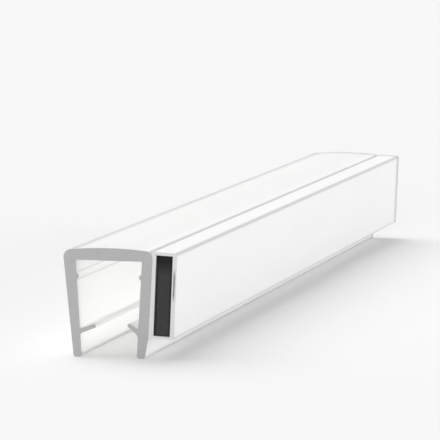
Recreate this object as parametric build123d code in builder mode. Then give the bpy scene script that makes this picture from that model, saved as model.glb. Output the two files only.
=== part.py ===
from build123d import *
import os
from math import cos, radians, sin, tan

# Magnetic shower door seal, cut from an extruded bar. A U channel grips the edge of a glass door, and a
# thin sleeve along one leg holds a magnet strip that meets the strip of the neighbouring door.
# Millimetres. X points out through the magnet sleeve, Y runs along the seal, Z points up to the web.
# The origin is the middle of the slot's mouth, level with the feet and half way along.
# Leans, measured from upright, and rises, measured from level, are in degrees.

# Cut length
seal_length = 140.0

# Glass and the ribs that grip it
glass_thickness = 8.0
rib_height = 0.24
rib_width = 0.8
rib_drop = 2.05

# Channel
leg_lean = 3.3
web_thickness = 1.6
crown_radius = 50.0
shoulder_radius = 1.0
slot_corner_radius = 0.15
plain_leg_root = 1.6
carrier_leg_thickness = 1.38
foot_thickness = 1.05
foot_radius = 0.3

# Sealing lips, left and right as seen from the front end
lip_height = 3.3
lip_tip_thickness = 0.46
lip_root_thickness = 0.66
lip_tip_radius = 0.18
lip_top_radius = 0.2
left_lip_length = 2.2
left_lip_rise = 20.0
left_lip_fillet = 0.4
right_lip_length = 1.68
right_lip_rise = 38.0
right_lip_fillet = 0.9

# Magnet strip and the sleeve around it
magnet_thickness = 2.1
magnet_width = 10.2
magnet_corner_radius = 0.12
magnet_recess = 0.3
pocket_play = 0.1
sleeve_inner_wall = 0.5
sleeve_outer_wall = 0.58
sleeve_top_wall = 0.42
sleeve_floor = 0.3
sleeve_corner_radius = 0.22
nose_lap = 0.1
nose_radius = 0.15
sleeve_lean = 2.4
sleeve_drop = 0.35
sleeve_foot_gap = 2.63

# Heights: the sleeve fits the strip, and the channel is as tall as the sleeve needs
pocket_width = magnet_thickness + pocket_play
pocket_height = magnet_width + pocket_play
pocket_middle = sleeve_foot_gap + sleeve_floor + pocket_height / 2
sleeve_top = pocket_middle + pocket_height / 2 + sleeve_top_wall
overall_height = sleeve_top + sleeve_drop
slot_depth = overall_height - web_thickness
rib_level = slot_depth - rib_drop


def slot_half(level):
    """Half the slot's width at a height: the legs lean together towards the feet."""
    at_ribs = glass_thickness / 2 + rib_height
    return at_ribs + (level - rib_level) * tan(radians(leg_lean))


def carrier_face(level):
    """X of the outer face of the leg that carries the sleeve, parallel to the slot's wall."""
    return slot_half(level) + carrier_leg_thickness / cos(radians(leg_lean))


def plain_face(level):
    """X of the other leg's outer face, which tapers evenly from the web down to the foot."""
    root = -slot_half(slot_depth) - plain_leg_root
    foot = -slot_half(0) - foot_thickness
    return foot + (root - foot) * level / slot_depth


def rib_points(side):
    """Lower end, peak and upper end of the half-round rib on one wall, side -1 or +1."""
    ends = [rib_level - rib_width / 2, rib_level + rib_width / 2]
    lower, upper = [(side * slot_half(level), level) for level in ends]
    peak = (side * (slot_half(rib_level) - rib_height), rib_level)
    return lower, peak, upper


def lip_points(side, length, rise):
    """Corners of a tapering lip: the root is sunk into the leg, the tip points up to the slot's middle."""
    along = Vector(-side * cos(radians(rise)), sin(radians(rise)))
    above = Vector(side * sin(radians(rise)), cos(radians(rise)))
    root = Vector(side * slot_half(lip_height), lip_height)
    tip = root + along * length
    sunk = root - along * foot_thickness / 2
    return [
        sunk + above * lip_root_thickness / 2,
        tip + above * lip_tip_thickness / 2,
        tip - above * lip_tip_thickness / 2,
        sunk - above * lip_root_thickness / 2,
    ]


def wall_crossing(start, end, side):
    """Where the straight line from start to end crosses the slot's wall on one side."""
    step = end - start
    slope = side * tan(radians(leg_lean))
    share = (side * slot_half(start.Y) - start.X) / (step.X - slope * step.Y)
    return start + step * share


with BuildPart() as glass_channel:
    with BuildSketch(Plane.XZ) as channel_section:
        with BuildLine():
            Polyline(
                (plain_face(overall_height), overall_height),
                (plain_face(0), 0),
                (-slot_half(0), 0),
                (-slot_half(slot_depth), slot_depth),
                (slot_half(slot_depth), slot_depth),
                (slot_half(0), 0),
                (slot_half(0) + foot_thickness, 0),
                (carrier_face(sleeve_foot_gap), sleeve_foot_gap),
                (carrier_face(overall_height), overall_height),
                close=True,
            )
        make_face()
        # The web's crown is a shallow arc across both shoulders
        with Locations((0, overall_height - crown_radius)):
            Circle(crown_radius, mode=Mode.INTERSECT)
        fillet(channel_section.vertices().sort_by(Axis.Y)[-2:], shoulder_radius)
        fillet(channel_section.vertices().group_by(Axis.Y)[0], min(foot_radius, 0.4 * foot_thickness))
        for side in (-1, 1):
            corner = (side * slot_half(slot_depth), slot_depth)
            fillet(channel_section.vertices().sort_by_distance(corner)[0], slot_corner_radius)
        for side in (-1, 1):
            lower, peak, upper = rib_points(side)
            with BuildLine():
                ThreePointArc(lower, peak, upper)
                Line(upper, lower)
            make_face()
        lips = [
            (-1, left_lip_length, left_lip_rise, left_lip_fillet),
            (1, right_lip_length, right_lip_rise, right_lip_fillet),
        ]
        for side, length, rise, root_fillet in lips:
            root_top, tip_top, tip_bottom, root_bottom = lip_points(side, length, rise)
            with BuildLine():
                Polyline(root_top, tip_top, tip_bottom, root_bottom, close=True)
            make_face()
            tips = [channel_section.vertices().sort_by_distance(tip)[0] for tip in (tip_top, tip_bottom)]
            fillet(tips, min(lip_tip_radius, 0.4 * lip_tip_thickness))
            above = wall_crossing(root_top, tip_top, side)
            fillet(channel_section.vertices().sort_by_distance(above)[0], lip_top_radius)
            below = wall_crossing(root_bottom, tip_bottom, side)
            fillet(channel_section.vertices().sort_by_distance(below)[0], root_fillet)
    extrude(amount=seal_length / 2, both=True)

pocket_x = carrier_face(pocket_middle) + sleeve_inner_wall + pocket_width / 2
pocket_place = Location((pocket_x, pocket_middle, 0), (0, 0, -sleeve_lean))


def sleeve_point(outward, upward):
    """Section point at these distances from the middle of the pocket, along its leaning axes."""
    lean = radians(sleeve_lean)
    x = pocket_x + outward * cos(lean) + upward * sin(lean)
    z = pocket_middle - outward * sin(lean) + upward * cos(lean)
    return x, z


# The sleeve is drawn from inside the leg and trimmed to the channel's outline. Its nose stops short of the
# crown, which leaves a groove along the shoulder
inner_side = -pocket_width / 2 - sleeve_inner_wall
outer_side = pocket_width / 2 + sleeve_outer_wall
upper_side = pocket_height / 2 + sleeve_top_wall
lower_side = -pocket_height / 2 - sleeve_floor
nose = sleeve_point(inner_side - nose_lap, upper_side)
top_corner = sleeve_point(outer_side, upper_side)
bottom_corner = sleeve_point(outer_side, lower_side)
in_leg = sleeve_point(inner_side - carrier_leg_thickness / 2, lower_side)

with BuildPart() as magnet_sleeve:
    with BuildSketch(Plane.XZ) as sleeve_section:
        with BuildLine():
            Polyline(nose, top_corner, bottom_corner, in_leg, close=True)
        make_face()
        fillet(sleeve_section.vertices().sort_by_distance(nose)[0], nose_radius)
        for corner in (top_corner, bottom_corner):
            rounding = min(sleeve_corner_radius, 0.4 * sleeve_outer_wall)
            fillet(sleeve_section.vertices().sort_by_distance(corner)[0], rounding)
        add(channel_section.sketch_local, mode=Mode.SUBTRACT)
        with Locations(pocket_place):
            Rectangle(pocket_width, pocket_height, mode=Mode.SUBTRACT)
    extrude(amount=seal_length / 2, both=True)

# The strip lies on the floor of the pocket, with the play above it and shared between its two sides
with BuildPart() as magnet_strip:
    with BuildSketch(Plane.XZ):
        with Locations(pocket_place):
            with Locations((0, -pocket_play / 2)):
                RectangleRounded(magnet_thickness, magnet_width, magnet_corner_radius)
    extrude(amount=seal_length / 2 - magnet_recess, both=True)

glass_channel.part.label = "glass_channel"
magnet_sleeve.part.label = "magnet_sleeve"
magnet_strip.part.label = "magnet_strip"

os.makedirs("parts", exist_ok=True)
for piece in (glass_channel.part, magnet_sleeve.part, magnet_strip.part):
    export_step(piece, f"parts/{piece.label}.step")
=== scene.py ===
# %% [markdown]
# # A magnetic shower door seal
# The real thing is a bar of PVC pushed through a steel die, so its whole shape is one flat section carried
# along a straight line. Three pieces show on the sawn end: the channel that grips the glass, the thin sleeve
# on its side, and the dark magnet strip inside the sleeve. This lesson loads the measured model, draws the
# three sections as numpy arrays, carries them along the bar, and gives every surface its finish.

# %% Load the measured model
from math import atan2, cos, degrees, pi, radians, sin, tan

import bpy
import numpy as np
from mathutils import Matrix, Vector


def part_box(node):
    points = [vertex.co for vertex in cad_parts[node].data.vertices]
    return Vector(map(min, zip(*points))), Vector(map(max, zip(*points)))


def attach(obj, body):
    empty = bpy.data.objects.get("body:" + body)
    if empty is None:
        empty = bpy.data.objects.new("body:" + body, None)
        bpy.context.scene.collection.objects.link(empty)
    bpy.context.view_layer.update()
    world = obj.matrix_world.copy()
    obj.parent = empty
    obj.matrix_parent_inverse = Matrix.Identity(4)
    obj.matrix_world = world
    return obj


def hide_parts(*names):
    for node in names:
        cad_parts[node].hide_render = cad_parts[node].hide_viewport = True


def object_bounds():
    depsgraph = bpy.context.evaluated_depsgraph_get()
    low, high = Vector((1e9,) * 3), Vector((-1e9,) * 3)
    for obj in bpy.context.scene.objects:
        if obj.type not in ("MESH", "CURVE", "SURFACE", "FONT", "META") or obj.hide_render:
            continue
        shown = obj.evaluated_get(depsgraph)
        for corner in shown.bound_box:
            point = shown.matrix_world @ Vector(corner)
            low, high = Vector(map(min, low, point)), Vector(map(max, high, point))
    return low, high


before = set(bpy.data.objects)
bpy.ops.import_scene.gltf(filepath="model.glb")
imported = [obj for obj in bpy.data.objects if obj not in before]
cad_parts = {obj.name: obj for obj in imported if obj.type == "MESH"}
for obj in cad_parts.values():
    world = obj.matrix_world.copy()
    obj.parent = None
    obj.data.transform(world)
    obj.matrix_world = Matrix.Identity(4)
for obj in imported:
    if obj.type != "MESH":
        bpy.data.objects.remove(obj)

cad_low, cad_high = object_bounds()
mm = 0.001
print("measured box, mm:", [round(side / mm, 2) for side in cad_high - cad_low])

# %% [markdown]
# ## The camera
# The picture was taken from a little to the right of the sawn end and a little above the floor. A long lens
# far away keeps the two ends of the bar nearly the same size. Placing the camera by two angles, a distance
# and the point that it looks at is easier to adjust than typing three coordinates and three rotations.

# %% Place the camera
view_azimuth = radians(14.397)
view_elevation = radians(6.253)
view_distance = 510.8 * mm
view_target = Vector((-3.43 * mm, 0, 10.06 * mm))
lens_length = 285.85
sensor_width = 36.0
nearest_seen, farthest_seen = 10 * mm, 20.0


def bearing(azimuth, elevation):
    """Unit vector under two angles: azimuth 0 points to the sawn end, a right angle to the sleeve's side."""
    return Vector((cos(elevation) * sin(azimuth), -cos(elevation) * cos(azimuth), sin(elevation)))


toward_camera = bearing(view_azimuth, view_elevation)
camera_data = bpy.data.cameras.new("photo_camera")
camera_data.lens = lens_length
camera_data.sensor_width = sensor_width
camera_data.clip_start = nearest_seen
camera_data.clip_end = farthest_seen
camera = bpy.data.objects.new("photo_camera", camera_data)
camera.location = view_target + toward_camera * view_distance
camera.rotation_euler = (-toward_camera).to_track_quat("-Z", "Y").to_euler()
bpy.context.scene.collection.objects.link(camera)
bpy.context.scene.camera = camera
print("camera at, mm:", [round(value / mm, 1) for value in camera.location])

# %% [markdown]
# ## A drawing kit for sections
# A die is cut as straight sides with rounded corners, so a section can be written as a short list of
# corners, each with its radius. One function turns that list into a smooth closed outline. It works on all
# corners at once: numpy holds them as arrays, and the arcs come out as one block of points. Each corner also
# carries a painted edge shade, which later tints it grey as painted shade along that edge. The shade is
# whole on the arc and fades along the straight sides. A shade above 1 is cut off at 1, so that it stays
# whole a little further before it fades.

# %% Round the corners of an outline
arc_steps = 16
edge_margin = np.array([0.05, 0.13, 0.28]) * mm
edge_fade = np.array([0.8, 0.35, 0.0])
most_margin = 0.45
least_step = 0.0005 * mm


def unit(vectors):
    """Each vector divided by its own length."""
    return vectors / np.linalg.norm(vectors, axis=-1, keepdims=True)


def rounded_outline(corners):
    """Closed outline from rows of x, z, radius and painted edge shade, going anticlockwise seen from the
    front.

    At a corner the arc starts radius / tan(half the angle) away on both sides. Its centre lies on the
    bisector at radius / sin(half the angle), and its points turn evenly from one side to the other. A few
    more points stand on the straight sides close to each arc, where the painted edge shade fades out. On a
    short side they take at most a set share of what the arcs leave. Where two arcs touch, nothing is left,
    and the points that fall together there are dropped. Returns the points and their painted edge shade.
    """
    place, radius, tone = corners[:, :2], corners[:, 2], corners[:, 3]
    back, ahead = np.roll(place, 1, 0) - place, np.roll(place, -1, 0) - place
    to_back, to_ahead = unit(back), unit(ahead)
    half = np.arccos(np.clip((to_back * to_ahead).sum(1), -1, 1)) / 2
    reach = radius / np.tan(half)
    centre = place + unit(to_back + to_ahead) * (radius / np.sin(half))[:, None]
    start, end = place + to_back * reach[:, None], place + to_ahead * reach[:, None]
    first, last = [np.arctan2(*(point - centre).T[::-1]) for point in (start, end)]
    sweep = (last - first + pi) % (2 * pi) - pi
    angle = first[:, None] + sweep[:, None] * np.linspace(0, 1, arc_steps + 1)
    arcs = centre[:, None] + radius[:, None, None] * np.stack([np.cos(angle), np.sin(angle)], 2)
    spare = np.linalg.norm(ahead, axis=1) - reach - np.roll(reach, -1)
    shrink = np.minimum(1, most_margin * spare / edge_margin[-1])
    after = end[:, None] + to_ahead[:, None] * (shrink[:, None] * edge_margin)[..., None]
    before = start[:, None] + to_back[:, None] * (np.roll(shrink, 1)[:, None] * edge_margin)[..., None]
    points = np.concatenate([before[:, ::-1], arcs, after], 1).reshape(-1, 2)
    fade = np.concatenate([edge_fade[::-1], np.ones(arc_steps + 1), edge_fade])
    apart = np.linalg.norm(points - np.roll(points, 1, 0), axis=1) > least_step
    return points[apart], np.minimum(1, tone[:, None] * fade).ravel()[apart]


print("points on one rounded corner:", arc_steps + 1 + 2 * len(edge_margin))

# %% [markdown]
# ## The channel's walls
# The two legs lean together so that the bar springs onto the glass. Rather than list many coordinates, each
# face of a leg is a small function of height. Every other point of the section can then ask for the wall at
# its own level.

# %% Legs and web
seal_height = cad_high.z
web_thickness = 1.6 * mm
slot_depth = seal_height - web_thickness
glass_thickness = 8.0 * mm
rib_height, rib_width = 0.24 * mm, 0.8 * mm
rib_drop = 2.05 * mm
rib_level = slot_depth - rib_drop
leg_slope = tan(radians(3.3))
plain_leg_root = 1.6 * mm
carrier_leg_thickness = 1.38 * mm
foot_thickness = 1.05 * mm


def slot_half(level):
    """Half the slot's width: the glass and its ribs at rib level, less below, as the legs lean together."""
    return glass_thickness / 2 + rib_height + (level - rib_level) * leg_slope


def plain_face(level):
    """X of the plain leg's outer face: a straight line from the foot to the leg's root at the web."""
    foot = -slot_half(0) - foot_thickness
    root = -slot_half(slot_depth) - plain_leg_root
    return foot + (root - foot) * level / slot_depth


def carrier_face(level):
    """X of the outer face of the leg that carries the sleeve, parallel to the slot's wall."""
    return slot_half(level) + carrier_leg_thickness * np.hypot(1, leg_slope)


print("slot at the mouth and at the web, mm:", [round(2 * slot_half(z) / mm, 2) for z in (0, slot_depth)])

# %% [markdown]
# ## Grip ribs
# High inside each leg a half-round rib presses on the glass. It could be a circle fused to the wall, but as
# three corners of the outline it needs no fusing: a sharp root, a peak with a generous radius, and a sharp
# root again. The function is written once and serves the left and the right leg.

# %% Ribs
root_crease = 0.03 * mm
# Painted shade along the crease at each root of a rib.
rib_crease_shade = 0.45
rib_roundness = 0.96


def rib_corners(side):
    """Lower root, peak and upper root of a half-round rib that stands square to the wall.

    The rib's flanks leave the wall at the angle of a circle through its two roots and its top, and meet
    above it. The peak's radius is nearly that circle's, so that a short straight flank is left for the root.
    """
    flank = 2 * atan2(rib_height, rib_width / 2)
    radius = rib_roundness * rib_width / 2 / sin(flank)
    low, high = rib_level - rib_width / 2, rib_level + rib_width / 2
    middle = np.array([side * slot_half(rib_level), rib_level])
    peak = middle + unit(np.array([-side, leg_slope])) * rib_width / 2 * tan(flank)
    return np.array([
        [side * slot_half(low), low, root_crease, rib_crease_shade],
        [*peak, radius, 0],
        [side * slot_half(high), high, root_crease, rib_crease_shade],
    ])


print("ribs stand above the feet by, mm:", round(rib_level / mm, 2))

# %% [markdown]
# ## Sealing lips
# Below the ribs a thin tapering lip wipes along the glass on each side. The two lips differ in length and
# rise, but both are four corners: a soft fillet under the root, two blunt corners at the tip, and a smaller
# fillet above the root. Where a root lies is found by crossing the lip's face with the wall, so the lip
# follows when the wall's lean changes.

# %% Lips
# Painted shade along the two edges of each lip's tip.
lip_edge_shade = 0.05
lip_level = 3.3 * mm
lip_tip, lip_root = 0.46 * mm, 0.66 * mm
lip_tip_radius, lip_top_radius = 0.18 * mm, 0.2 * mm


def meet(point, direction, other_point, other_direction):
    """Where two lines cross, each given by a point and a direction."""
    matrix = np.stack([direction, -np.asarray(other_direction)], 1)
    share = np.linalg.solve(matrix, np.subtract(other_point, point))
    return np.asarray(point) + share[0] * np.asarray(direction)


def lip_corners(side, length, rise, root_fillet):
    """Root below, tip below, tip above and root above of a lip that climbs towards the middle of the slot.

    The lip's middle line starts on the wall and rises at a fixed angle. Its upper and lower faces run from a
    root sunk in the leg to the narrower tip, and the two roots are where those faces cross the wall.
    """
    along = np.array([-side * cos(rise), sin(rise)])
    above = np.array([side * sin(rise), cos(rise)])
    root = np.array([side * slot_half(lip_level), lip_level])
    sunk = root - along * foot_thickness / 2
    tip = root + along * length
    wall = np.array([side * leg_slope, 1])
    rows = []
    for face, fillet in ((-1, root_fillet), (1, lip_top_radius)):
        inner = sunk + above * face * lip_root / 2
        outer = tip + above * face * lip_tip / 2
        crossing = meet(inner, outer - inner, root, wall)
        rows.append([[*crossing, fillet, 0], [*outer, lip_tip_radius, lip_edge_shade]])
    (below, tip_below), (top, tip_above) = rows
    return np.array([below, tip_below, tip_above, top])


left_lip = lip_corners(-1, length=2.2 * mm, rise=radians(20), root_fillet=0.4 * mm)
right_lip = lip_corners(1, length=1.68 * mm, rise=radians(38), root_fillet=0.9 * mm)
print("gap between the lip tips, mm:", round((right_lip[1:3, 0].min() - left_lip[1:3, 0].max()) / mm, 2))

# %% [markdown]
# ## The crowned web
# The top of the channel is a very flat arc that runs into rounded shoulders. An arc is just a corner with a
# large radius, so the crown is a low roof of two straight lines whose ridge is rounded by fifty millimetres.
# The roof lines touch that arc where the shoulders take over, and this place has to be exact: were the arcs
# to overlap, the skin would fold back on itself there and show a dark crease. Where a straight line leaves a
# circle is a quadratic equation, and it gives the middle of each shoulder.

# %% Crown and shoulders
crown_radius = 50.0 * mm
crown_centre = np.array([0, seal_height - crown_radius])
shoulder_radius = 1.0 * mm


def leave_circle(point, direction, centre, radius):
    """Where a line of unit direction that starts inside a circle leaves it."""
    offset = point - centre
    across = offset @ direction
    return point + direction * (np.sqrt(across ** 2 - offset @ offset + radius ** 2) - across)


def shoulder(side, foot, upward):
    """Corner, middle and crown end of the shoulder on one side, from its leg's outer face.

    The shoulder's circle touches the face, and the crown's arc from inside. Its middle therefore lies its
    own radius inside the face, and the difference of the two radii away from the crown's middle.
    """
    inward = side * np.array([-upward[1], upward[0]])
    start = foot + inward * shoulder_radius
    middle = leave_circle(start, upward, crown_centre, crown_radius - shoulder_radius)
    rising = unit(middle - crown_centre)
    crown_end = crown_centre + rising * crown_radius
    corner = meet(foot, upward, crown_end, [rising[1], -rising[0]])
    return corner, middle, crown_end


plain_foot, carrier_foot = np.array([plain_face(0), 0]), np.array([carrier_face(0), 0])
plain_up = unit(np.array([plain_face(slot_depth) - plain_face(0), slot_depth]))
carrier_up = unit(np.array([leg_slope, 1]))
left_shoulder, _, left_end = shoulder(-1, plain_foot, plain_up)
right_shoulder, right_middle, right_end = shoulder(1, carrier_foot, carrier_up)
ridge = meet(left_end, left_end - left_shoulder, right_end, right_end - right_shoulder)
print("ridge of the roof lines stands above the crown by, mm:", round((ridge[1] - seal_height) / mm, 3))

# %% [markdown]
# ## The channel's outline
# Now the corners can be listed in one round: down the plain leg, around its foot, up inside past the lip and
# the rib, across under the web, down the other side and up the leg that carries the sleeve. The right lip
# and rib are read backwards, because the outline passes them from above. The foot under the sleeve widens
# upwards to meet it, with one long soft bend.

# %% Close the channel's outline
foot_radius = 0.3 * mm
slot_corner_radius = 0.15 * mm
sleeve_foot = 2.63 * mm
sleeve_foot_bend = 2.0 * mm
# Painted shade along the contact with the floor, at the plain leg's inner foot and at the outer foot under
# the sleeve.
inner_foot_shade, outer_foot_shade = 0.5, 0.4

channel_corners = np.vstack([
    [*left_shoulder, shoulder_radius, 0],
    [plain_face(0), 0, foot_radius, 0],
    [-slot_half(0), 0, foot_radius, inner_foot_shade],
    left_lip,
    rib_corners(-1),
    [-slot_half(slot_depth), slot_depth, slot_corner_radius, 0],
    [slot_half(slot_depth), slot_depth, slot_corner_radius, 0],
    rib_corners(1)[::-1],
    right_lip[::-1],
    [slot_half(0), 0, foot_radius, 0],
    [slot_half(0) + foot_thickness, 0, foot_radius, outer_foot_shade],
    [carrier_face(sleeve_foot), sleeve_foot, sleeve_foot_bend, 0],
    [*right_shoulder, shoulder_radius, 0],
    [*ridge, crown_radius, 0],
])
channel_outline, channel_tone = rounded_outline(channel_corners)
print("channel outline:", len(channel_corners), "corners,", len(channel_outline), "points")

# %% [markdown]
# ## The sleeve and the strip
# The sleeve is a thin flat tube that leans with the leg. Its own small frame, outward and upward from the
# middle of the pocket, keeps its corners simple. Its nose stops just short of the crown, which leaves the
# fine groove that runs along the shoulder. The strip lies on the pocket's floor.

# %% Sleeve, pocket and strip corners
pocket_play = 0.1 * mm
strip_thickness, strip_width = 2.1 * mm, 10.2 * mm
strip_radius, pocket_radius = 0.12 * mm, 0.04 * mm
pocket_width, pocket_height = strip_thickness + pocket_play, strip_width + pocket_play
inner_wall, outer_wall = 0.5 * mm, 0.58 * mm
top_wall, floor_wall = 0.42 * mm, 0.3 * mm
nose_lap = 0.1 * mm
sleeve_lean = radians(2.4)
pocket_middle = sleeve_foot + floor_wall + pocket_height / 2
pocket_x = carrier_face(pocket_middle) + inner_wall + pocket_width / 2


def leaning(points):
    """Section points from distances outward and upward of the pocket's middle, turned by the lean."""
    outward, upward = np.asarray(points, float).T
    x = pocket_x + outward * cos(sleeve_lean) + upward * sin(sleeve_lean)
    z = pocket_middle - outward * sin(sleeve_lean) + upward * cos(sleeve_lean)
    return np.stack([x, z], 1)


def leaning_box(width, height, drop, radius):
    """Four rounded corners of a leaning box, anticlockwise from the top right, lowered by drop."""
    right, top, bottom = width / 2, height / 2 - drop, -height / 2 - drop
    box = leaning([[right, top], [-right, top], [-right, bottom], [right, bottom]])
    return np.column_stack([box, np.full(4, radius), np.zeros(4)])


sleeve_left = -pocket_width / 2 - inner_wall
sleeve_right = pocket_width / 2 + outer_wall
sleeve_top = pocket_height / 2 + top_wall
sleeve_bottom = -pocket_height / 2 - floor_wall
nose, top_corner, bottom_corner, in_leg = leaning([
    [sleeve_left - nose_lap, sleeve_top],
    [sleeve_right, sleeve_top],
    [sleeve_right, sleeve_bottom],
    [sleeve_left - carrier_leg_thickness / 2, sleeve_bottom],
])
pocket_corners = leaning_box(pocket_width, pocket_height, 0, pocket_radius)
strip_corners = leaning_box(strip_thickness, strip_width, pocket_play / 2, strip_radius)
print("pocket for the strip, mm:", round(pocket_width / mm, 2), "by", round(pocket_height / mm, 2))

# %% [markdown]
# The sleeve is fused to the leg, so on that side its outline follows the channel: straight up the leg's
# face, round the start of the shoulder, and then away from it to the nose. It leaves the shoulder where the
# nose line leaves the shoulder's circle, and the tangent of the circle there gives the corner of the arc
# below. A gap of two thousandths of a millimetre keeps the two skins from flickering through each other.

# %% Fuse the sleeve's outline to the leg
seam_gap = 0.002 * mm
sleeve_radius, nose_radius = 0.22 * mm, 0.15 * mm
# Painted shade along the sleeve's top and bottom outer edges, and along its nose beside the groove.
top_edge_shade, nose_shade, bottom_edge_shade = 0.75, 2.6, 0.5

leave = leave_circle(in_leg, unit(nose - in_leg), right_middle, shoulder_radius)
spoke = leave - right_middle
arc_corner = meet(leave, [spoke[1], -spoke[0]], carrier_foot, carrier_up)
leg_meet = meet(carrier_foot, carrier_up, bottom_corner, bottom_corner - in_leg)

seam = np.array([
    [*leave, 0, 0],
    [*arc_corner, shoulder_radius, 0],
    [*leg_meet, root_crease, 0],
])
seam[:, 0] += seam_gap
sleeve_corners = np.vstack([
    [*top_corner, sleeve_radius, top_edge_shade],
    [*nose, nose_radius, nose_shade],
    seam,
    [*bottom_corner, sleeve_radius, bottom_edge_shade],
])
sleeve_outline, sleeve_tone = rounded_outline(sleeve_corners)
pocket_outline, pocket_tone = rounded_outline(pocket_corners)
strip_outline, strip_tone = rounded_outline(strip_corners)
print("groove beside the crown starts at, mm:", (leave / mm).round(2))

# %% [markdown]
# The crown's two long edges are painted greyer than its middle, as painted shade: over the plain leg the
# shoulder turns away from the light, and beside the sleeve the groove swallows it. Both are soft rims, so
# the painted shade rises smoothly over the last stretch of the crown before each of them, and it ends where
# the shoulder runs into the upright face.

# %% Painted shade on the crown's two edges
outer_rim_width, outer_rim_shade = 1.5 * mm, 0.8
groove_shade, groove_rim_width, groove_rim_shade = 0.25 * mm, 0.4 * mm, 0.75


def smooth_rise(value, start, full):
    """0 before start, 1 from full on, and the smooth step 3 s^2 - 2 s^3 between. Full may be the smaller."""
    share = np.clip((value - start) / (full - start), 0, 1)
    return share * share * (3 - 2 * share)


outline_x, outline_z = channel_outline.T
shoulder_edge = left_end[0]
outer_rim = outer_rim_shade * smooth_rise(outline_x, shoulder_edge + outer_rim_width, shoulder_edge)
groove_edge = nose[0] - groove_shade
groove_rim = groove_rim_shade * smooth_rise(outline_x, groove_edge - groove_rim_width, groove_edge)
on_shoulder = smooth_rise(outline_z, seal_height - shoulder_radius, seal_height - shoulder_radius / 2)
crown_rims = on_shoulder * np.maximum(outer_rim, groove_rim)
channel_tone = np.maximum(channel_tone, crown_rims)
print("points in the crown's grey rims:", int((crown_rims > 0).sum()))

# %% [markdown]
# ## From section to bar
# Extruding is the simplest sweep: every point of the outline is repeated at a row of stations along Y, and
# neighbouring points are joined by four-sided faces. Along the far sawn end the long faces carry a fine grey
# rim of painted shade, which draws that edge as a line of shade. At the near end the sawn face itself draws
# that line. The stations therefore crowd together near the ends, so that the painted shade has points to
# live on.

# %% Points, faces and painted edge shade of a swept outline
seal_length = cad_high.y - cad_low.y
end_distances = np.array([0, 0.4, 1, 1.6, 2.4, 3.2, 5, 8, 13, 20, 32, 48]) * mm
# Where the painted shade along the far sawn end is whole and where it ends.
far_shade_full, far_shade_end = 1.0 * mm, 2.4 * mm


def stations(length):
    """Y of each copy of the section: close together at the two ends and far apart in the middle."""
    front = -length / 2 + end_distances
    return np.concatenate([front, [0], -front[::-1]])


def tube_points(outline, along):
    """The outline's x and z repeated at every station along Y."""
    x, y = np.meshgrid(outline[:, 0], along)
    z = np.broadcast_to(outline[:, 1], y.shape)
    return np.stack([x, y, z], -1).reshape(-1, 3)


def tube_faces(rows, count, first, outward):
    """Quads between neighbouring rows of a closed outline, as vertex numbers starting at first."""
    row, point = np.meshgrid(np.arange(rows - 1), np.arange(count), indexing="ij")
    here, ahead = first + row * count + point, first + row * count + (point + 1) % count
    order = [here, here + count, ahead + count, ahead]
    return np.stack(order if outward else order[::-1], -1).reshape(-1, 4)


def tube_tone(tone, along, far_edge_shade):
    """Painted edge shade of every point: the outline's own, with a soft grey rim of painted shade along the
    far sawn end.
    """
    rim = far_edge_shade * smooth_rise(along[-1] - along, far_shade_end, far_shade_full)
    return (1 - (1 - rim[:, None]) * (1 - tone)).ravel()


print("copies of the section along the bar:", len(stations(seal_length)))

# %% [markdown]
# A mesh is points and faces, and two things travel with it here. An attribute holds the painted edge
# shade of every point, for the material to read. A face's material index tells the long faces from the
# sawn ones, which wear another finish. The long faces are shaded smooth, so the edges around the sawn ends
# are marked sharp, or the shading would bend around them.

# %% Make a piece
def make_piece(name, points, tone, sides, caps):
    """Mesh object at the origin from points, four-sided side faces and many-sided end faces.

    Side faces are smooth and wear material 0. End faces are flat and wear material 1. An edge is sharp where
    both its points lie at the largest distance along Y.
    """
    mesh = bpy.data.meshes.new(name)
    mesh.from_pydata(points, [], [*sides.tolist(), *[cap.tolist() for cap in caps]])
    is_cap = np.arange(len(mesh.polygons)) >= len(sides)
    mesh.polygons.foreach_set("use_smooth", ~is_cap)
    mesh.polygons.foreach_set("material_index", is_cap.astype(np.int32))
    mesh.attributes.new("painted_edge_shade", "FLOAT", "POINT").data.foreach_set("value", tone.astype(np.float32))
    edges = np.empty(len(mesh.edges) * 2, np.int32)
    mesh.edges.foreach_get("vertices", edges)
    along = np.abs(points[:, 1])
    at_end = (along > along.max() - root_crease / 2)[edges.reshape(-1, 2)].all(1)
    mesh.attributes.new("sharp_edge", "BOOLEAN", "EDGE").data.foreach_set("value", at_end)
    mesh.update()
    piece = bpy.data.objects.new(name, mesh)
    bpy.context.scene.collection.objects.link(piece)
    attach(piece, "root")
    print(name, "has", len(mesh.vertices), "points and", len(mesh.polygons), "faces")
    return piece


# %% [markdown]
# ## The channel and the strip
# Both are plain bars: one closed outline, one flat face at each end. The strip is a little shorter than the
# bar, so its ends sit back inside the sleeve, as the measured model says.

# %% Build the solid bars
# Strength of the painted shade along the far sawn end: some on the channel, none on the strip.
channel_far_shade, strip_far_shade = 0.65, 0


def solid_bar(name, outline, tone, far_edge_shade, length):
    """A bar with one closed outline: its side faces and a flat many-sided face at each end."""
    along = stations(length)
    count = len(outline)
    points = tube_points(outline, along)
    sides = tube_faces(len(along), count, 0, True)
    last_row = (len(along) - 1) * count
    caps = [np.arange(count), last_row + np.arange(count)[::-1]]
    return make_piece(name, points, tube_tone(tone, along, far_edge_shade), sides, caps)


channel = solid_bar(
    "channel_profile", channel_outline, channel_tone, channel_far_shade, seal_length
)
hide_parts("glass_channel")
strip_low, strip_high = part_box("magnet_strip")
strip_length = strip_high.y - strip_low.y
strip = solid_bar("magnet_bar", strip_outline, strip_tone, strip_far_shade, strip_length)
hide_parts("magnet_strip")
print("strip sits back from the sawn end by, mm:", round((strip_low.y - cad_low.y) / mm, 2))

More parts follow.
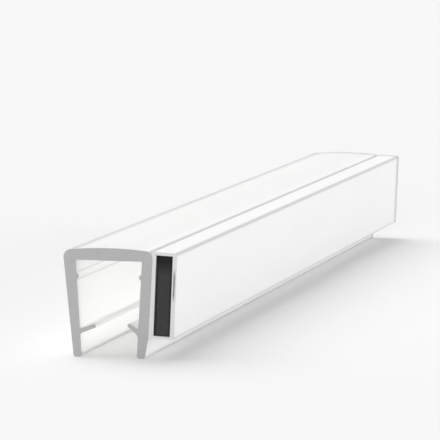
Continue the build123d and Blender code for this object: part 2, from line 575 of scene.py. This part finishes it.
# %% [markdown]
# ## The sleeve
# The sleeve is hollow, so it has two outlines: the outside and the pocket. A flat ring closes the wall at
# each end. A face in Blender can have many corners but no hole, so the ring is made of two halves that meet
# on two short cuts across the wall.

# %% Build the hollow bar
# Strength of the painted shade along the sleeve's far sawn end.
sleeve_far_shade = 0.85


def loop_between(start, end, count, first):
    """Vertex numbers along a closed loop of count points, forwards from start to end."""
    return first + (start + np.arange((end - start) % count + 1)) % count


def hollow_bar(name, outer, outer_tone, inner, inner_tone, far_edge_shade, length):
    """A bar with an outer and an inner outline: two walls, and a ring of two halves at each end.

    The ring's cuts run from the pocket's top right and bottom left corners to the nearest points outside.
    """
    along = stations(length)
    count, hole = len(outer), len(inner)
    first_inner = len(along) * count
    points = np.vstack([tube_points(outer, along), tube_points(inner, along)])
    tone = np.concatenate([tube_tone(outer_tone, along, far_edge_shade), tube_tone(inner_tone, along, 0)])
    sides = np.vstack([
        tube_faces(len(along), count, 0, True),
        tube_faces(len(along), hole, first_inner, False),
    ])
    cuts = [arc_steps // 2, 2 * (hole // 4) + arc_steps // 2]
    nearest = [int(np.argmin(np.linalg.norm(outer - inner[cut], axis=1))) for cut in cuts]
    caps = []
    for row, flip in ((0, False), (len(along) - 1, True)):
        for start, end in ((0, 1), (1, 0)):
            outside = loop_between(nearest[start], nearest[end], count, row * count)
            inside = loop_between(cuts[start], cuts[end], hole, first_inner + row * hole)
            ring = np.concatenate([outside, inside[::-1]])
            caps.append(ring[::-1] if flip else ring)
    return make_piece(name, points, tone, sides, caps)


sleeve = hollow_bar(
    "sleeve_profile", sleeve_outline, sleeve_tone, pocket_outline, pocket_tone,
    sleeve_far_shade, seal_length,
)
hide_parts("magnet_sleeve")

# %% [markdown]
# The sections were drawn afresh, so it is worth setting them against the measured model before any paint
# goes on. The boxes of the two outlines should agree with the boxes of the solids to a hundredth of a
# millimetre.

# %% Compare the drawn sections with the measured ones
for node, outline in (("glass_channel", channel_outline), ("magnet_sleeve", sleeve_outline)):
    low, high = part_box(node)
    drawn = np.concatenate([outline.min(0), outline.max(0)]) / mm
    measured = np.array([low.x, low.z, high.x, high.z]) / mm
    print(node, "drawn minus measured, mm:", (drawn - measured).round(3))

# %% [markdown]
# ## A material kit
# Every finish on this part is made of nodes, and the same few moves come back: a noise stretched to suit the
# tool that left it, a blend of two colours, a value carried to another range, a sum, a bump. Each move is a
# small function that adds its nodes to a tree and returns the output to link on. The noise reads Object
# coordinates, which stay fixed to the piece however it is turned or lit. Nearly all of its values lie
# between 0.3 and 0.7, so that span is what most finishes stretch to their own range.

# %% Nodes and noise
noise_span = 0.3, 0.7
noise_roughness = 0.55


def new_material(name):
    """An empty procedural material: returns it with its node tree and its Principled shader."""
    material = bpy.data.materials.new(name)
    material.use_nodes = True
    tree = material.node_tree
    return material, tree, tree.nodes["Principled BSDF"]


def add(tree, kind, values=(), **settings):
    """A new node with its settings and input values."""
    node = tree.nodes.new(kind)
    for key, value in settings.items():
        setattr(node, key, value)
    for key, value in dict(values).items():
        node.inputs[key].default_value = value
    return node


def stretched_noise(tree, cells, turn=(0, 0, 0), detail=3.0):
    """Noise over the piece's own coordinates: cells says how many fit in a metre along each axis."""
    place = add(tree, "ShaderNodeTexCoord")
    mapping = add(tree, "ShaderNodeMapping", {"Scale": cells, "Rotation": turn})
    noise = add(tree, "ShaderNodeTexNoise", {"Scale": 1.0, "Detail": detail, "Roughness": noise_roughness})
    tree.links.new(place.outputs["Object"], mapping.inputs["Vector"])
    tree.links.new(mapping.outputs["Vector"], noise.inputs["Vector"])
    return noise.outputs["Fac"]


print("materials read the piece's own coordinates, in metres")

# %% [markdown]
# A function that accepts either a plain value or another node's output saves many lines later on.

# %% Blends, ranges, sums and bumps
def feed(tree, socket, value):
    """Links a node's output to an input, or sets the input to a plain value."""
    if isinstance(value, bpy.types.NodeSocket):
        tree.links.new(value, socket)
    else:
        socket.default_value = value


def blend_colours(tree, share, first, second):
    """Mixes two colours, each a node's output or red, green, blue and alpha, by a share from 0 to 1."""
    mix = add(tree, "ShaderNodeMix", data_type="RGBA")
    tree.links.new(share, mix.inputs["Factor"])
    feed(tree, mix.inputs[6], first)
    feed(tree, mix.inputs[7], second)
    return mix.outputs[2]


def remap(tree, value, low, high, new_low, new_high):
    """Carries a value evenly from one range to another, with nothing past the ends."""
    node = add(tree, "ShaderNodeMapRange", {1: low, 2: high, 3: new_low, 4: new_high})
    tree.links.new(value, node.inputs[0])
    return node.outputs[0]


def maths(tree, operation, first, second=0.0):
    """One arithmetic step on a node's output and a second output or plain number."""
    node = add(tree, "ShaderNodeMath", operation=operation)
    tree.links.new(first, node.inputs[0])
    feed(tree, node.inputs[1], second)
    return node.outputs[0]


def relief(tree, shader, height, depth):
    """Bump of a given depth in metres on the shader's normal."""
    bump = add(tree, "ShaderNodeBump", {"Strength": 1.0, "Distance": depth})
    tree.links.new(height, bump.inputs["Height"])
    tree.links.new(bump.outputs["Normal"], shader.inputs["Normal"])


def grey(tone, blue=None):
    """A grey as red, green, blue and alpha. Blue may differ a little, for a warm or a cool grey."""
    return (tone, tone, tone if blue is None else blue, 1)


print("an even grey is", grey(0.5))

# %% [markdown]
# ## White PVC
# The skin of an extruded bar is satin white. The die leaves very fine lines along the bar. They could be
# modelled, but they are far thinner than a pixel, so a noise that is stretched a thousandfold along Y does
# it better: it drives the roughness and a faint bump. A second, slow noise clouds the white by about one
# percent, and the painted edge shade of the mesh pulls the colour towards grey: shade painted along edges,
# creases, the groove and the feet.

# %% Extruded skins of the channel and the sleeve
# Grey of the painted edge shade, painted along edges, creases, the groove and the feet.
edge_shade_grey = grey(0.5)
die_line_cells, die_line_depth = (5200, 5, 5200), 0.004 * mm
cloud_cells, cloud_span = (260, 60, 260), (0.35, 0.65)
satin_roughness = 0.3, 0.42
pvc_ior = 1.5


def painted_edge_shade(tree):
    """Output with the painted edge shade that travels on the mesh."""
    return add(tree, "ShaderNodeAttribute", attribute_name="painted_edge_shade").outputs["Fac"]


def extruded_skin(name, white, clouded):
    """Satin PVC with die lines along Y, faint clouds and painted shade along the edges."""
    material, tree, shader = new_material(name)
    die_lines = stretched_noise(tree, die_line_cells)
    clouds = stretched_noise(tree, cloud_cells)
    colour = blend_colours(tree, remap(tree, clouds, *cloud_span, 0, 1), white, clouded)
    colour = blend_colours(tree, painted_edge_shade(tree), colour, edge_shade_grey)
    tree.links.new(colour, shader.inputs["Base Color"])
    tree.links.new(remap(tree, die_lines, *noise_span, *satin_roughness), shader.inputs["Roughness"])
    relief(tree, shader, die_lines, die_line_depth)
    shader.inputs["IOR"].default_value = pvc_ior
    print(name, "is white at", white[0], "and clouds at", clouded[0])
    return material


channel_skin = extruded_skin("channel_white_pvc", grey(0.955, 0.95), grey(0.94))
sleeve_skin = extruded_skin("sleeve_white_pvc", grey(0.93, 0.928), grey(0.915))

# %% [markdown]
# The channel's stiff compound is milky: daylight comes through its walls and keeps the slot bright inside,
# while the sleeve's filled compound hides the dark strip. Principled's subsurface could do it, but Cycles
# treats that as plain paint after the first soft bounce, and the slot is lit through several walls. A
# Translucent shader mixed into the skin passes the light on at every bounce. Its share follows the wall:
# most in the thin lips and feet, less at the roots of the legs, and little in the thick web. On the sleeve's
# side it fades out towards the outer face, which sends the light back: the foot shows as a bright band under
# the sleeve.

# %% Milky walls
lip_share, foot_share, root_share, crown_share = 0.94, 0.82, 0.65, 0.2
lip_fade = 0.5 * mm
lip_ceiling = 2 * lip_level
foot_middle, foot_face = slot_half(0) + foot_thickness / 2, slot_half(0) + foot_thickness
milky_white = grey(0.985, 0.98)


def let_light_through(material):
    """Mixes a Translucent shader into a skin, so that a share of the light passes to the other face.

    The share falls evenly from the feet up to the roots of the legs, and then to half way up the web. From
    the middle of the foot under the sleeve to that foot's outer face it falls to nothing. Whatever stands
    out into the lower part of the slot is a lip, and has a share of its own.
    """
    tree = material.node_tree
    milky = add(tree, "ShaderNodeBsdfTranslucent")
    # The painted edge shade greys the light that passes through, too.
    colour = blend_colours(tree, painted_edge_shade(tree), milky_white, edge_shade_grey)
    tree.links.new(colour, milky.inputs["Color"])
    place = add(tree, "ShaderNodeTexCoord")
    parts = add(tree, "ShaderNodeSeparateXYZ")
    tree.links.new(place.outputs["Object"], parts.inputs["Vector"])
    sideways, height = parts.outputs["X"], parts.outputs["Z"]
    web_middle = seal_height - web_thickness / 2
    legs = remap(tree, height, 0, slot_depth, foot_share, root_share)
    web = remap(tree, height, slot_depth, web_middle, 1, crown_share / root_share)
    outer_foot = remap(tree, sideways, foot_middle, foot_face, 1, 0)
    walls = maths(tree, "MULTIPLY", maths(tree, "MULTIPLY", legs, web), outer_foot)
    from_middle = maths(tree, "ABSOLUTE", sideways)
    inside = remap(tree, from_middle, slot_half(0) - lip_fade, slot_half(0), lip_share, 0)
    low_down = remap(tree, height, lip_ceiling, slot_depth, 1, 0)
    lips = maths(tree, "MULTIPLY", inside, low_down)
    share = maths(tree, "MAXIMUM", walls, lips)
    mix = add(tree, "ShaderNodeMixShader")
    tree.links.new(share, mix.inputs["Fac"])
    tree.links.new(tree.nodes["Principled BSDF"].outputs[0], mix.inputs[1])
    tree.links.new(milky.outputs[0], mix.inputs[2])
    tree.links.new(mix.outputs[0], tree.nodes["Material Output"].inputs["Surface"])
    shares = lip_share, foot_share, root_share, crown_share
    print(material.name, "lets through, from lips and feet to crown:", *shares)


let_light_through(channel_skin)

# %% [markdown]
# ## Sawn ends
# A fine saw cuts the bar to length. The cut face looks greyer than the skin, because light runs into the bar
# there and does not come back, and it carries fine straight tooth marks. The sleeve's softer compound stays
# paler. The marks are a noise stretched along the saw's path and turned a little, since no cut is quite
# level.

# %% Sawn faces
saw_turn = radians(24)
saw_mark_cells, saw_mark_depth = (450, 1, 7000), 0.012 * mm
sawn_roughness = 0.62, 0.5


def sawn_face(name, dark, pale):
    """Matt cut plastic: tooth marks across the section as colour, roughness and a shallow bump."""
    material, tree, shader = new_material(name)
    marks = stretched_noise(tree, saw_mark_cells, (0, saw_turn, 0), detail=4.0)
    colour = blend_colours(tree, remap(tree, marks, *noise_span, 0, 1), dark, pale)
    tree.links.new(colour, shader.inputs["Base Color"])
    tree.links.new(remap(tree, marks, *noise_span, *sawn_roughness), shader.inputs["Roughness"])
    relief(tree, shader, marks, saw_mark_depth)
    return material


channel_cut = sawn_face("channel_sawn_end", grey(0.415), grey(0.455))
sleeve_cut = sawn_face("sleeve_sawn_end", grey(0.67), grey(0.73))
print("saw marks are turned by, degrees:", round(degrees(saw_turn)))

# %% [markdown]
# The sleeve's sawn face carries a thin dark grey line along the middle of its outer wall. To paint it, the
# nodes need the sleeve's leaning frame: a Mapping node of the Texture kind moves, turns and scales the
# coordinates back, so that the strip's edges lie at 1 and -1.

# %% Dark line in the sleeve's wall
# Width, lower and upper end, fade and grey of the dark line painted on the sleeve's sawn face.
wall_line_half_width = 0.18
wall_line_low, wall_line_high, wall_line_fade = -0.15, 0.72, 0.2
wall_line_grey = grey(0.16)


def strip_frame(tree):
    """Outward and upward coordinates of the leaning pocket, in halves of the strip's thickness and width."""
    place = add(tree, "ShaderNodeTexCoord")
    mapping = add(tree, "ShaderNodeMapping", {
        "Location": (pocket_x, 0, pocket_middle),
        "Rotation": (0, sleeve_lean, 0),
        "Scale": (strip_thickness / 2, 1, strip_width / 2),
    }, vector_type="TEXTURE")
    parts = add(tree, "ShaderNodeSeparateXYZ")
    tree.links.new(place.outputs["Object"], mapping.inputs["Vector"])
    tree.links.new(mapping.outputs["Vector"], parts.inputs["Vector"])
    return parts.outputs["X"], parts.outputs["Z"]


def paint_over(material, share, paint):
    """Blends a paint by a share over the colour that already reaches the material's Principled shader."""
    tree = material.node_tree
    socket = tree.nodes["Principled BSDF"].inputs["Base Color"]
    under = socket.links[0].from_socket
    tree.links.new(blend_colours(tree, share, under, paint), socket)


wall_line_tree = sleeve_cut.node_tree
outward, upward = strip_frame(wall_line_tree)
wall_middle = (pocket_width + outer_wall) / strip_thickness
from_wall_line = maths(wall_line_tree, "ABSOLUTE", maths(wall_line_tree, "SUBTRACT", outward, wall_middle))
wall_line_across = remap(wall_line_tree, from_wall_line, 0, wall_line_half_width, 1, 0)
above_low = remap(wall_line_tree, upward, wall_line_low, wall_line_low + wall_line_fade, 0, 1)
below_high = remap(wall_line_tree, upward, wall_line_high - wall_line_fade, wall_line_high, 1, 0)
wall_line_along = maths(wall_line_tree, "MINIMUM", above_low, below_high)
paint_over(sleeve_cut, maths(wall_line_tree, "MULTIPLY", wall_line_across, wall_line_along), wall_line_grey)
wall_line_place = wall_middle * strip_thickness / 2
print("weld line stands outward of the strip's middle by, mm:", round(wall_line_place / mm, 2))

# %% [markdown]
# ## Magnet rubber
# The strip is rubber packed with iron oxide powder, almost black, with a dry grain and a few paler flecks of
# powder. It is rolled and then sheared, so its end is a little rougher than its faces. A fine round-celled
# noise gives the grain, and a coarser one the rubbed patches.

# %% Rolled faces and sheared end
grain_cells, patch_cells = (6000, 6000, 6000), (500, 120, 500)
fleck_span = 0.55, 0.75
patch_contrast = 0.08


def magnet_rubber(name, black, dusty, roughness, grain_depth):
    """Powder-filled rubber: a fine grain with dusty flecks, in colour, roughness and bump."""
    material, tree, shader = new_material(name)
    grain = stretched_noise(tree, grain_cells, detail=2.0)
    patches = stretched_noise(tree, patch_cells)
    colour = blend_colours(tree, remap(tree, grain, *fleck_span, 0, 1), black, dusty)
    tree.links.new(colour, shader.inputs["Base Color"])
    smooth, rough = roughness - patch_contrast, roughness + patch_contrast
    tree.links.new(remap(tree, patches, *noise_span, smooth, rough), shader.inputs["Roughness"])
    relief(tree, shader, grain, grain_depth)
    print(name, "is black at", black[0], "with flecks at", dusty[0])
    return material


strip_skin = magnet_rubber(
    "magnet_rolled_face", grey(0.024, 0.025), grey(0.05), roughness=0.5, grain_depth=0.004 * mm
)
strip_cut = magnet_rubber(
    "magnet_sheared_end", grey(0.042, 0.043), grey(0.07), roughness=0.7, grain_depth=0.015 * mm
)

# %% [markdown]
# The end sits back in the sleeve, and the pocket's roof and its two side walls shade its top and its two
# long edges; that shade is painted on, darker towards the top and the long edges. The strip's own frame says
# how near a point is to an edge, and the larger of the two shares wins where they meet. The end is dull all
# over, so it reflects less than the rolled faces do.

# %% Painted pocket shade on the sheared end
# Near-black of the painted shade, and where it starts, where it is whole and how strong it is at the sides
# and the top.
pocket_shade_black = grey(0.003)
side_start, side_full, side_share = 0.66, 0.96, 0.85
top_start, top_full, top_share = 0.5, 0.86, 0.8
dull_reflection = 0.2

shear_tree = strip_cut.node_tree
outward, upward = strip_frame(shear_tree)
from_middle = maths(shear_tree, "ABSOLUTE", outward)
shaded_sides = remap(shear_tree, from_middle, side_start, side_full, 0, side_share)
shaded_top = remap(shear_tree, upward, top_start, top_full, 0, top_share)
pocket_shade = maths(shear_tree, "MAXIMUM", shaded_sides, shaded_top)
paint_over(strip_cut, pocket_shade, pocket_shade_black)
shear_tree.nodes["Principled BSDF"].inputs["Specular IOR Level"].default_value = dull_reflection
print("pressed border at the sides, mm:", round((1 - side_start) * strip_thickness / 2 / mm, 2))

# %% [markdown]
# ## Dressing the pieces
# A mesh keeps its materials in numbered places. The first one is worn by the long faces and the second by
# the sawn ends, which is how make_piece numbered them, so the order in each pair matters.

# %% Dress the pieces
finishes = {
    channel: (channel_skin, channel_cut),
    sleeve: (sleeve_skin, sleeve_cut),
    strip: (strip_skin, strip_cut),
}
for piece, materials in finishes.items():
    for material in materials:
        piece.data.materials.append(material)
    print(piece.name, "wears", [material.name for material in materials])

# %% [markdown]
# ## The floor
# A white product stands on a white floor, so only soft shadows and thin edges draw it. One large square is
# enough, and its far edge melts into a backdrop of the same white. It is matt: a glossy floor would mirror
# the bright world from low angles and burn out.

# %% Lay the floor
floor_half = 4.0
floor_white = grey(0.93)
floor_roughness = 0.9

floor_points = floor_half * np.array([[-1, -1, 0], [1, -1, 0], [1, 1, 0], [-1, 1, 0]])
floor_mesh = bpy.data.meshes.new("studio_floor")
floor_mesh.from_pydata(floor_points, [], [(0, 1, 2, 3)])
floor = bpy.data.objects.new("studio_floor", floor_mesh)
bpy.context.scene.collection.objects.link(floor)
floor_paint, _, floor_shader = new_material("studio_floor_paint")
floor_shader.inputs["Base Color"].default_value = floor_white
floor_shader.inputs["Roughness"].default_value = floor_roughness
floor_shader.inputs["Specular IOR Level"].default_value = 0.0
floor_mesh.materials.append(floor_paint)
print("floor half width, m:", floor_half)

# %% [markdown]
# ## The world
# The backdrop should be nearly white, but a world that bright would light the part from everywhere and wash
# the shadow out. Light Path tells the rays apart: the camera, reflections and glass see the white backdrop,
# and rays that only carry light meet a dimmer world.

# %% Backdrop and ambient light
ambient_strength = 0.37
backdrop_strength = 0.98

world = bpy.data.worlds.new("studio_world")
world.use_nodes = True
bpy.context.scene.world = world
sky = world.node_tree
ambient = sky.nodes["Background"]
ambient.inputs["Color"].default_value = grey(1)
ambient.inputs["Strength"].default_value = ambient_strength
backdrop = add(sky, "ShaderNodeBackground", {"Color": grey(1), "Strength": backdrop_strength})
path = add(sky, "ShaderNodeLightPath")
seen = path.outputs["Is Camera Ray"]
for ray in ("Is Glossy Ray", "Is Transmission Ray"):
    seen = maths(sky, "MAXIMUM", seen, path.outputs[ray])
choose = add(sky, "ShaderNodeMixShader")
sky.links.new(seen, choose.inputs[0])
sky.links.new(ambient.outputs[0], choose.inputs[1])
sky.links.new(backdrop.outputs[0], choose.inputs[2])
sky.links.new(choose.outputs[0], sky.nodes["World Output"].inputs["Surface"])
print("backdrop and ambient light:", backdrop_strength, ambient_strength)

# %% [markdown]
# ## The lamps
# A broad key light from behind the upper left throws the shadow to the front right. Two low fills brighten
# the sleeve's flat side and the sawn end. They only graze the floor, so they leave that shadow alone, and
# the front one shines along the slot. A sun with a wide angle is a soft lamp that lights near and far alike.
# The lamps are hidden from glossy rays, because such a wide one would burn a white streak into the satin
# skin. The slot is a white tunnel in which light bounces many times, so the limit on bounces is raised.

# %% Soft lamps
light_bounces = 40


def soft_sun(name, azimuth, elevation, strength, spread):
    """A far lamp of a wide angle, placed by its bearing. Angles are in degrees."""
    lamp = bpy.data.lights.new(name, "SUN")
    lamp.energy = strength
    lamp.angle = radians(spread)
    holder = bpy.data.objects.new(name, lamp)
    toward = bearing(radians(azimuth), radians(elevation))
    holder.rotation_euler = toward.to_track_quat("Z", "Y").to_euler()
    holder.visible_glossy = False
    bpy.context.scene.collection.objects.link(holder)
    print(name, "lights the floor by", round(strength * toward.z / pi, 3))


soft_sun("key", azimuth=-122, elevation=58, strength=2.0, spread=70)
soft_sun("side_fill", azimuth=88, elevation=4, strength=1.4, spread=36)
soft_sun("front_fill", azimuth=8, elevation=6, strength=1.24, spread=30)
bpy.context.scene.view_settings.view_transform = "Standard"
bpy.context.scene.cycles.max_bounces = light_bounces
bpy.context.scene.cycles.diffuse_bounces = light_bounces
bpy.context.scene.cycles.transmission_bounces = light_bounces
